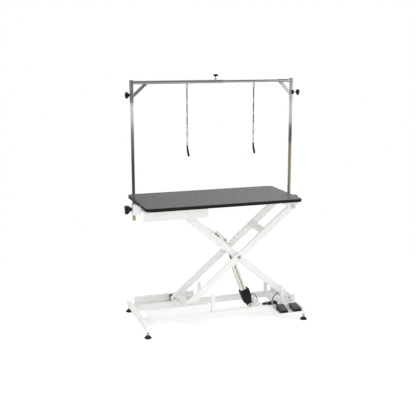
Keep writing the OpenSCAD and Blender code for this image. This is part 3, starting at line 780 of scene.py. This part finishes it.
def add_feet():
    profile = [
        (0, 0), (24.2, 0), (25.4, 1), (26, 2.6), (26, 6.4), (25.2, 8), (22.6, 9.6), (22.2, 11),
        (19.4, 12.4), (15.6, 14.2), (14.4, 16), (13.6, 21), (12.6, 22), (0, 22),
    ]
    nut = [(0, 37.5), (10.2, 37.5), (10.9, 38.4), (10.9, 46.6), (10.2, 47.5), (0, 47.5)]
    for side in ("left", "right"):
        for end in ("front", "rear"):
            node = f"foot_{side}_{end}"
            low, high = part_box(node)
            at = Matrix.Translation(((low.x + high.x) / 2, (low.y + high.y) / 2, 0))
            stud_top = (high.z - 0.0002) / MM
            thread = [(0, 21.5)]
            z = 21.5
            while z < stud_top - 1.6:
                thread += [(5.3, z), (6.0, z + 0.45), (6.0, z + 0.75), (5.3, z + 1.2)]
                z += 1.5
            thread += [(5.3, z), (4.4, stud_top), (0, stud_top)]
            parts = [
                lathe("pad", profile, FOOT, at, 64),
                lathe("stud", thread, ZINC, at, 32),
                lathe("nut", nut, ZINC, at, 6),
                lathe("washer", [(6, 36), (12, 36), (12, 37.4), (6, 37.4)], ZINC, at, 40),
            ]
            for k in range(8):
                rib = at @ turned(45 * k + 22.5, "Z") @ shift(16.6, 0, 12.2)
                parts.append(block("rib", (5.5, 2.2, 4.6), FOOT, rib, 0.0008))
            place(join(node + "_pad", parts), node, "foot_rubber", node)


def along_y(point):
    """A matrix that turns local Z to +Y at a point."""
    return Matrix.Translation(point) @ turned(-90, "X")


def add_rollers():
    half = [
        (6.1, 11), (12, 11), (12.6, 10.4), (12.6, 8.4), (21, 8.4), (21.6, 10.2), (24.6, 11),
        (26.2, 10.2), (27, 8.6),
    ]
    profile = [(radius, -z) for radius, z in half] + half[::-1]
    for level in ("low", "high"):
        for end in ("front", "rear"):
            node = f"roller_{level}_{end}"
            low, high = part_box(node)
            at = along_y((low + high) / 2)
            parts = [lathe("wheel", profile, ROLLER, at, 64)]
            for k in range(6):
                spoke = at @ turned(60 * k, "Z") @ shift(17, 0, 0)
                parts.append(block("spoke", (9.6, 2.6, 19), ROLLER, spoke, 0.0006))
            place(join(node + "_wheel", parts), node, "roller_nylon", node)


add_feet()
add_rollers()

# --- tabletop ---


def add_tabletop():
    soft_edges("tabletop_board", 0.0008, BOARD, "board_wood")
    soft_edges("tabletop_mat", 0.0006, MAT, "mat_rubber")
    low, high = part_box("tabletop_trim")
    path = [Vector((x, y, 0)) for x, y in rounded_rectangle(low, high, 0.04, 12)]
    z0, z1 = low.z, high.z
    # Points of (how far outside the outline, how high), from the lip under the board round to the inside
    section = [(-0.0135, z0), (-0.0015, z0), (-0.0004, z0 + 0.0008), (0, z0 + 0.003)]
    section += [(0, z0 + 0.009), (-0.0004, z0 + 0.010), (-0.0004, z0 + 0.011), (0, z0 + 0.012)]
    for k in range(7):
        a = radians(15 * k)
        section.append((-0.0045 + 0.0045 * cos(a), z1 - 0.0045 + 0.0045 * sin(a)))
    section += [(-0.0058, z1), (-0.0064, z1 - 0.0006), (-0.0061, z1 - 0.004)]
    section += [(-0.0061, z0 + 0.0021), (-0.0135, z0 + 0.0021)]
    trim = sweep_outline("trim_band", path, section, TRIM)
    place(trim, "table", "trim_rubber", "tabletop_trim")


def sweep_outline(name, path, section, material):
    """Sweeps a section round a level closed path, mitred by the path's own normals."""
    count, n = len(path), len(section)
    vertices, faces = [], []
    for i in range(count):
        heading = (path[(i + 1) % count] - path[i - 1]).normalized()
        out = Vector((heading.y, -heading.x, 0))
        vertices += [path[i] + u * out + Vector((0, 0, v)) for u, v in section]
    for i in range(count):
        j = (i + 1) % count
        for k in range(n):
            m = (k + 1) % n
            faces.append([i * n + k, j * n + k, j * n + m, i * n + m])
    return new_mesh(name, vertices, faces, material)


add_tabletop()

# --- knobs ---


KNOB_SIDES = 72


def lobed_ring(reach, inset, z):
    ring = []
    for k in range(KNOB_SIDES):
        a = 2 * pi * k / KNOB_SIDES
        wave = (0.5 + 0.5 * cos(3 * (a - pi / 2))) ** 0.72
        radius = reach * (0.66 + 0.34 * wave) - inset
        ring.append(mm(radius * cos(a), radius * sin(a), z))
    return ring


def add_knob(node, reach, grip, hub, stud_d, at, skirt=0):
    """A three-lobed knob along local +Z: a tapered hub, a dished grip and a stud below it. The hub
    reaches skirt below the origin."""
    layers = [(4.2, 0), (1.4, 0.9), (0.3, 2.4), (0, grip / 2), (0.4, grip - 2.6), (1.8, grip - 0.9)]
    vertices = []
    for inset, z in layers + [(4.4, grip)]:
        vertices += lobed_ring(reach, inset * reach / 25, hub + z)
    for radius, z in [(0.5, -0.2), (0.46, -1.4), (0.3, -1.8), (0.06, -1.6)]:
        vertices += [mm(u, v, hub + grip + z) for u, v in circle(radius * reach, KNOB_SIDES)]
    faces = ring_faces(len(vertices) // KNOB_SIDES, KNOB_SIDES)
    foot, shoulder = 0.26 * reach, 0.8 * reach
    hub_profile = [
        (0, -skirt), (foot - 0.8, -skirt), (foot, 0.8 - skirt), (shoulder, hub + 0.6), (0, hub + 0.6),
    ]
    collar_r = 0.82 * foot
    low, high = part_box(node)
    lies_level = abs(at.col[2].x) > 0.5
    span = high.x - low.x if lies_level else high.z - low.z
    stud_end = hub + grip - span / MM
    crest, root = stud_d / 2, stud_d / 2 - 0.5
    thread = [(0, 1)]
    z = 0.8
    while z > stud_end + 1.6:
        thread += [(root, z), (crest, z - 0.4), (crest, z - 0.7), (root, z - 1.1)]
        z -= 1.4
    thread += [(crest - 0.6, z), (crest - 1.2, stud_end), (0, stud_end)]
    parts = [
        new_mesh("grip", vertices, faces, KNOB, at, angle=40),
        lathe("hub", hub_profile, KNOB, at, 48),
        lathe("collar", [(0, -0.1), (collar_r, -0.1), (collar_r, 1.2), (0, 1.2)], ZINC, at, 40),
        lathe("stud", thread[::-1], CHROME, at, 32),
    ]
    place(join(node + "_moulding", parts), node, "knob_plastic", node)


def side_matrix(side, x, z, turn):
    """A matrix that points local Z outwards on the left or right side, turned by turn degrees."""
    return shift(side * x, 0, z) @ turned(side * 90, "Y") @ turned(-side * turn, "Z")


def add_knobs():
    post_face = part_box("post_right")[1].x / MM
    for name, side in (("left", -1), ("right", 1)):
        z = joint_at(f"knob_socket_{name}_turn").z / MM
        x0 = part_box(f"post_socket_{name}")[1 if side > 0 else 0].x / MM * side + 1
        add_knob(f"knob_socket_{name}", 36, 24, 28, 10, side_matrix(side, x0, z, 90))
    # Start is how far out the hub's origin stands. The left knob is screwed in, the right one part out.
    corners = (("left", -1, 13, 0, 18, 5, 9.6), ("right", 1, 30, 90, 13, 10, 0))
    for name, side, start, turn, grip, hub, skirt in corners:
        z = joint_at(f"knob_corner_{name}_turn").z / MM
        at = side_matrix(side, post_face + start, z, turn)
        add_knob(f"knob_corner_{name}", 25, grip, hub, 8, at, skirt)
    x = joint_at("knob_crossbar_turn").x / MM
    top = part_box("knob_crossbar")[1].z / MM
    add_knob("knob_crossbar", 20, 13, 5, 8, shift(x, 0, top - 18))


add_knobs()


def add_saddle():
    """The black clamp piece round the outer half of the right sleeve, behind its knob's stem."""
    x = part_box("corner_right")[1].x - 0.0155
    z = joint_at("knob_corner_right_turn").z
    at = Matrix.Translation((x, 0, z))
    saddle = block("corner_saddle_right", (21, 31, 34), KNOB, at, 0.004)
    place(saddle, "crossbar", "knob_plastic")


add_saddle()

# --- nooses ---

CORD_D = 4.2
LOOP_R = 8.5
TIP_Z = 1258
END_TOP = 1334
SLEEVE = (1340, 1456)
END_WALL = 1.4
LOOP_TURN = radians(84)
HOOK_LIFT = 9


def lean(z):
    """How far, in mm, the limp end of a noose has swung to +X at height z."""
    return 12 * min(1.0, max(0.0, (END_TOP + 4 - z) / 80)) ** 1.4


def noose_path(x, top):
    """Two strands that hang side by side, sway a little, and meet in a small loop at the bottom."""
    bottom = TIP_Z + END_WALL + CORD_D / 2 + LOOP_R

    def strand(side, z):
        apart = CORD_D / 2 + 0.05 + (LOOP_R - CORD_D / 2) * smooth_step((END_TOP - z) / 50)
        above = z - END_TOP - 20
        sway = radians(48) * sin(above / 15) * smooth_step(above / 80)
        a = LOOP_TURN + radians(96) * smooth_step(above / 60) + sway
        return mm(x + lean(z) + side * apart * cos(a), side * apart * sin(a), z)

    levels = [top - (top - bottom) * k / 110 for k in range(111)]
    down = [strand(1, z) for z in levels]
    up = [strand(-1, z) for z in reversed(levels)]
    bend = []
    for k in range(1, 12):
        b = radians(15 * k)
        out, z = (LOOP_R + 0.05) * cos(b), bottom - LOOP_R * sin(b)
        bend.append(mm(x + lean(z) + out * cos(LOOP_TURN), out * sin(LOOP_TURN), z))
    return down + bend + up


def end_cover(name, x):
    """The black moulded end that holds the loop: a flat tube with a rounded tip."""
    n, rows = 32, 26
    c, s = cos(LOOP_TURN), sin(LOOP_TURN)
    vertices = []
    for i in range(rows):
        t = i / (rows - 1)
        z = END_TOP + (TIP_Z - END_TOP) * t
        tip = sqrt(max(0.0, 1 - max(0.0, (TIP_Z + 9 - z) / 9.4) ** 2))
        wide = (CORD_D + 2.2 + (LOOP_R - CORD_D / 2 + 0.6) * smooth_step((END_TOP - z) / 50)) * tip
        deep = (5.4 + 2.2 * smooth_step(2.2 * t)) * tip
        for across, along in circle(1, n):
            u, v = wide * across, deep * along
            vertices.append(mm(x + lean(z) + u * c - v * s, u * s + v * c, z))
    # The rows run downwards, so each face is turned over to look outwards
    faces = [face[:1] + face[:0:-1] for face in ring_faces(rows, n)]
    return new_mesh(name, vertices, faces, TRIM)


def sleeve_width(t):
    """The clear sleeve's width at part t of its length: a little uneven, with a swelling near the top."""
    swelling = smooth_step((t - 0.55) / 0.2) * smooth_step((1 - t) / 0.14)
    return 1 + 0.1 * sin(9 * t) + 0.8 * swelling


def add_noose(name, x):
    node, body = f"noose_{name}", f"hung_noose_{name}"
    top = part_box(node)[1].z / MM + 3 + HOOK_LIFT
    path = noose_path(x, top)
    cord = tube(f"noose_cord_{name}", path, CORD_D * MM, CORD, 14)
    place(cord, body, "noose_cord", node)
    clear = [mm(x + lean(z), 0, z) for z in range(SLEEVE[0], SLEEVE[1] + 1, 4)]
    ferrule = [(3.0, 0), (6.2, 0), (6.7, 1), (6.7, 9), (6.2, 10), (3.0, 10)]
    ferrule_at = shift(x, 0, END_TOP - 3)
    crimp = [(2.6, 0), (4.6, 0), (5, 0.6), (5, 11.4), (4.6, 12), (2.6, 12)]
    crimp_at = shift(x, 0, top - 14)
    pieces = [
        end_cover(f"noose_end_{name}", x),
        tube(f"noose_sleeve_{name}", clear, 0.0105, VINYL, 24, scale=sleeve_width),
        lathe(f"noose_ferrule_{name}", ferrule, TRIM, ferrule_at, 32),
        lathe(f"noose_crimp_{name}", crimp, NICKEL, crimp_at, 32),
    ]
    for piece in pieces:
        place(piece, body, "noose_cord")


def add_slider(name):
    """Two beads on a neck, with the thumb slot between them."""
    node = f"noose_slider_{name}"
    low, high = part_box(node)
    bead = [(4.5, 0)]
    for centre in (6.4, 22.6):
        for k in range(9):
            a = radians(-72 + 18 * k)
            bead.append((4.6 + 1.9 * cos(a) ** 0.6, centre + 6.4 * sin(a)))
    bead += [(4.5, 29)]
    at = Matrix.Translation(((low.x + high.x) / 2, 0, low.z))
    neck = [(4.9, 12.2), (5.6, 12.5), (5.6, 16.5), (4.9, 16.8)]
    parts = [lathe("beads", bead, VINYL, at, 40), lathe("neck", neck, KNOB, at, 40)]
    place(join(node + "_beads", parts), node, "knob_plastic", node)


def add_hook(name, x):
    """A snap hook: an oval ring of round bar, the gate with its thumb stud, and the swivel eye."""
    node = f"noose_hook_{name}"
    low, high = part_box(node)
    straight, radius, bar = 16.0 - HOOK_LIFT, 6.6, 3.1
    centre = high.z / MM - bar / 2 - radius
    ring = []
    for way, z in ((1, centre), (-1, centre - straight)):
        for k in range(13):
            a = radians(90 - 90 * way + 15 * k)
            ring.append(mm(x + radius * cos(a), 0, z + radius * sin(a)))
        for k in range(1, 8):
            ring.append(mm(x - way * radius, 0, z - way * straight * k / 8))
    foot = low.z / MM + HOOK_LIFT
    swivel = [
        (0, 0), (4.2, 0), (5, 0.8), (5, 3.2), (4.2, 4), (4.2, 5), (5, 5.8), (5, 10.6), (4.2, 12),
        (2.6, 13.4), (2.6, 17), (4.1, 18), (4.1, 21.4), (2.4, 23), (0, 23.4),
    ]
    gate_z = centre - 0.55 * straight
    gate = shift(x + radius, 0, gate_z)
    thumb = shift(x + radius + 2.2, 0, gate_z)
    parts = [
        tube("ring", ring, bar * MM, NICKEL, 16, closed=True),
        lathe("swivel", swivel, NICKEL, shift(x, 0, foot), 32),
        lathe("gate", [(0, -4), (1.9, -4), (2.2, -3), (2.2, 3), (1.9, 4), (0, 4)], NICKEL, gate, 20),
        block("thumb", (2.6, 2.2, 5), NICKEL, thumb, 0.0005),
    ]
    place(join(node + "_snap", parts), f"hung_noose_{name}", "zinc_steel", node)


def add_nooses():
    for name in ("left", "right"):
        low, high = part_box(f"noose_{name}")
        x = (low.x + high.x) / 2 / MM
        add_noose(name, x)
        add_slider(name)
        add_hook(name, x)


add_nooses()

# --- actuator ---

ACTUATOR_REST = radians(110.7507)


def along_actuator(s, y=0, across=0):
    """A matrix at distance s mm up the actuator: local Z along it, local X across it."""
    pin = joint_at("actuator_tilt")
    upright = Matrix.Rotation(radians(90) - ACTUATOR_REST, 4, "Y")
    return Matrix.Translation(pin) @ upright @ shift(across, y, s)


def body_end(p):
    """Tells whether a point of the actuator's body is on one of its two end faces."""
    height = (along_actuator(0).inverted() @ p).z
    return not 0.1405 < height < 0.3915


def add_actuator():
    soft_edges("actuator_motor", 0.003, MOTOR, "roller_nylon")
    pin, axis = joint_at("actuator_tilt"), along_actuator(0).col[0].to_3d()
    # The faces in the body's grooves take the groove material: painted shade in the grooves.
    soft_edges(
        "actuator_body", 0.0006, ANODISED, "anodised_body", GROOVE_SHADE,
        lambda p: min(abs((p - pin).dot(axis)), abs(p.y)) < 0.0031 and not body_end(p),
    )
    soft_edges("actuator_rod", 0.0006, CHROME, "chrome_tube")
    details = []
    end_screw = [(0, 0), (2.9, 0), (2.9, 1), (2.2, 1.6), (1.4, 1.6), (1.2, 0.7), (0, 0.7)]
    for x, y in ((-17, -17), (-17, 17), (17, -17), (17, 17)):
        details.append(lathe("end_screw", end_screw, ZINC, along_actuator(391.6, y, x), 24))
    collar = [(11.3, 0), (16, 0), (17.2, 1), (17.2, 3), (15.6, 4.2), (13, 4.4), (11.3, 3.4)]
    details.append(lathe("wiper", collar, MOTOR, along_actuator(391.8), 48))
    details.append(block("flange", (50, 50, 8), MOTOR, along_actuator(141), 0.002))
    case_screw = [(0, 0), (3.6, 0), (3.6, 1.4), (3, 2), (1.6, 2), (1.4, 0.9), (0, 0.9)]
    for side in (-1, 1):
        outwards = turned(-90 * side, "X")
        for s, across in ((34, 20), (60, -24), (60, 30), (120, -30), (120, 32)):
            at = along_actuator(s, side * 30.6, across) @ outwards
            details.append(lathe("case_screw", case_screw, MOTOR, at, 24))
    place(join("actuator_fittings", details), "actuator", "zinc_steel")


add_actuator()

# --- foot switch ---


def wedge_rows(x):
    """A pedal's side outline in (y, z), repeated across it and drawn in towards its two sides."""
    outline = [
        (-302, 71), (-300, 69.2), (-215, 87), (-211, 83.5), (-206, 82), (-200.5, 85), (-199, 89),
        (-200, 104), (-204, 107), (-296, 85), (-300, 83.5), (-302, 80),
    ]
    half = 31
    middle_y = sum(y for y, z in outline) / len(outline)
    middle_z = sum(z for y, z in outline) / len(outline)
    from_side = [(0, 2.2), (0.7, 0.9), (2.2, 0)]
    stations = [(gap - half, inset) for gap, inset in from_side]
    stations += [(half - gap, inset) for gap, inset in reversed(from_side)]
    rows = []
    for across, inset in stations:
        for y, z in outline:
            y_in = copysign(inset, middle_y - y)
            z_in = copysign(inset * 0.5, middle_z - z)
            rows.append(mm(x + across, y + y_in, z + z_in))
    return rows, ring_faces(len(stations), len(outline))


def add_pedals():
    """A pedal is a wedge with a lighter tread on its slope and raised grip ribs across it. The wedge's near-black
    is partly painted shade on its sides.
    """
    front_y, front_z = -296, 85
    back_y, back_z = -204, 107
    slope = atan2(back_z - front_z, back_y - front_y)
    tilt = Matrix.Rotation(slope, 4, "X")
    for name in ("left", "right"):
        node = f"pedal_{name}"
        low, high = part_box(node)
        x = (low.x + high.x) / 2 / MM
        vertices, faces = wedge_rows(x)
        tread = shift(x, -250, 96.2) @ tilt
        # The wedge is near-black moulding and the tread lighter: the sides' darkness is partly the plastic's own
        # and partly painted shade.
        parts = [
            bevel(new_mesh("wedge", vertices, faces, MOTOR), 0.0009, 3, 25),
            block("tread", (57, 90, 1.2), PEDAL, tread, 0.0005),
        ]
        for k in range(9):
            y = -290 + 9.4 * k
            z = front_z + (y - front_y) * tan(slope) + 0.1
            parts.append(block("rib", (50, 3.2, 2.2), PEDAL, shift(x, y, z) @ tilt, 0.0009))
        pin = shift(x, -206, 89) @ turned(90, "Y")
        parts.append(lathe("hinge_pin", [(0, -34.9), (3, -34.9), (3, 34.9), (0, 34.9)], ZINC, pin, 24))
        place(join(node + "_tread", parts), node, "knob_plastic", node)
    soft_edges("switch_blocks", 0.0012, MOTOR, "lead_rubber")


add_pedals()

# --- studio ---


def add_floor():
    reach = 2600
    profile = [(reach * k / 12, 0) for k in range(13)]
    floor = lathe("floor", profile, pale_floor(), Matrix.Translation((0, 0, -0.0002)), 96)
    floor.visible_glossy = False


def add_light(name, location, target, size, power):
    data = bpy.data.lights.new(name, "AREA")
    data.size = size
    data.energy = power
    light = bpy.data.objects.new(name, data)
    scene.collection.objects.link(light)
    light.location = location
    light.rotation_euler = (Vector(target) - Vector(location)).to_track_quat("-Z", "Y").to_euler()
    light.visible_glossy = False


def add_world():
    """White to the camera, even light for diffuse surfaces, and a plain studio for reflections: white
    behind the table and above it, with darker low bands in front of it."""
    world = bpy.data.worlds.new("studio")
    scene.world = world
    world.use_nodes = True
    tree = world.node_tree
    tree.nodes.clear()
    link = tree.links.new

    def math_node(operation, a, b):
        made = new_node(tree, "ShaderNodeMath", operation=operation)
        for k, value in enumerate((a, b)):
            if isinstance(value, (int, float)):
                made.inputs[k].default_value = value
            else:
                link(value, made.inputs[k])
        return made.outputs[0]

    def bands(source, stops):
        """A colour for each height of the reflected ray. Stops are (height, colour) pairs."""
        low, high = -0.3, 0.5
        made = new_node(tree, "ShaderNodeValToRGB")
        part = math_node("DIVIDE", math_node("SUBTRACT", source, low), high - low)
        fill_ramp(made, [((height - low) / (high - low), color) for height, color in stops])
        link(part, made.inputs["Fac"])
        return made.outputs["Color"]

    def mix(factor, a, b):
        made = new_node(tree, "ShaderNodeMix", data_type="RGBA")
        link(factor, made.inputs["Factor"])
        for name, value in (("A", a), ("B", b)):
            socket = [s for s in made.inputs if s.name == name and s.type == "RGBA"][0]
            if isinstance(value, tuple):
                socket.default_value = value
            else:
                link(value, socket)
        return [s for s in made.outputs if s.type == "RGBA"][0]

    direction = new_node(tree, "ShaderNodeTexCoord").outputs["Generated"]
    parts = new_node(tree, "ShaderNodeSeparateXYZ")
    link(direction, parts.inputs["Vector"])
    x, y, z = (parts.outputs[k] for k in range(3))
    front = bands(z, [
        (-0.29, (0.15, 0.14, 0.11)), (-0.24, (0.5, 0.42, 0.24)), (-0.208, (0.5, 0.42, 0.24)),
        (-0.198, (0.13, 0.11, 0.06)), (-0.17, (0.065, 0.058, 0.04)), (-0.145, (0.08, 0.078, 0.055)),
        (-0.126, (0.14, 0.14, 0.11)), (-0.105, (0.28, 0.29, 0.28)), (-0.09, (0.6, 0.64, 0.72)),
        (-0.071, (0.74, 0.76, 0.8)), (-0.067, (0.2, 0.21, 0.19)), (-0.035, (0.19, 0.2, 0.18)),
        (0.0, (0.22, 0.23, 0.22)), (0.14, (0.3, 0.3, 0.31)), (0.34, (0.34, 0.34, 0.34)),
    ])
    front_right = bands(z, [
        (-0.26, (0.15, 0.14, 0.11)), (-0.21, (0.3, 0.26, 0.2)), (-0.175, (0.46, 0.4, 0.32)),
        (-0.12, (0.44, 0.36, 0.27)), (-0.1165, (0.1, 0.095, 0.1)), (-0.098, (0.1, 0.1, 0.11)),
        (-0.093, (0.55, 0.54, 0.62)), (-0.075, (0.7, 0.69, 0.76)), (-0.04, (0.74, 0.73, 0.78)),
        (0.02, (0.6, 0.6, 0.62)), (0.16, (0.7, 0.7, 0.7)), (0.34, (0.9, 0.9, 0.9)),
    ])
    below_bar = math_node("MINIMUM", math_node("MAXIMUM", math_node("ADD", z, 0.0405), -0.01), 0)
    edge = math_node("ADD", math_node("MULTIPLY", below_bar, 5), 0.4575)
    to_right = math_node("GREATER_THAN", math_node("ADD", x, math_node("MULTIPLY", y, edge)), 0)
    behind = math_node("GREATER_THAN", y, 0)
    across = new_node(tree, "ShaderNodeMapRange")
    set_inputs(across, From_Min=0.2, From_Max=0.48)
    bearing = math_node("DIVIDE", x, y)
    link(bearing, across.inputs["Value"])
    back = mix(across.outputs["Result"], (0.48, 0.46, 0.47, 1), (1.5, 1.52, 1.57, 1))
    far_left = math_node("LESS_THAN", bearing, -0.35)
    far_right = math_node("GREATER_THAN", bearing, 1.0)
    back = mix(far_right, back, front)
    back = mix(math_node("GREATER_THAN", x, 0), mix(far_left, front, front_right), back)
    corner = bands(z, [
        (-0.12, (0.12, 0.11, 0.09)), (-0.095, (0.5, 0.5, 0.53)), (-0.03, (0.42, 0.42, 0.43)),
        (0.3, (0.42, 0.42, 0.43)),
    ])
    at_corner = math_node("LESS_THAN", math_node("ADD", x, math_node("MULTIPLY", y, -0.6)), 0)
    ahead = mix(at_corner, mix(to_right, front, front_right), corner)
    reflected = mix(behind, ahead, back)
    path = new_node(tree, "ShaderNodeLightPath")
    even = (0.86, 0.86, 0.86, 1)
    unseen = mix(path.outputs["Is Glossy Ray"], even, reflected)
    color = mix(path.outputs["Is Camera Ray"], unseen, (1, 1, 1, 1))
    background = new_node(tree, "ShaderNodeBackground")
    link(color, background.inputs["Color"])
    output = new_node(tree, "ShaderNodeOutputWorld")
    link(background.outputs["Background"], output.inputs["Surface"])


add_floor()
add_light("key", (-2.4, -5.0, 2.8), (0, 0, 0.7), 3.5, 38)
add_light("overhead", (-0.6, -0.4, 4.6), (0, 0, 0), 3.0, 72)
add_world()
scene.view_settings.view_transform = "Standard"
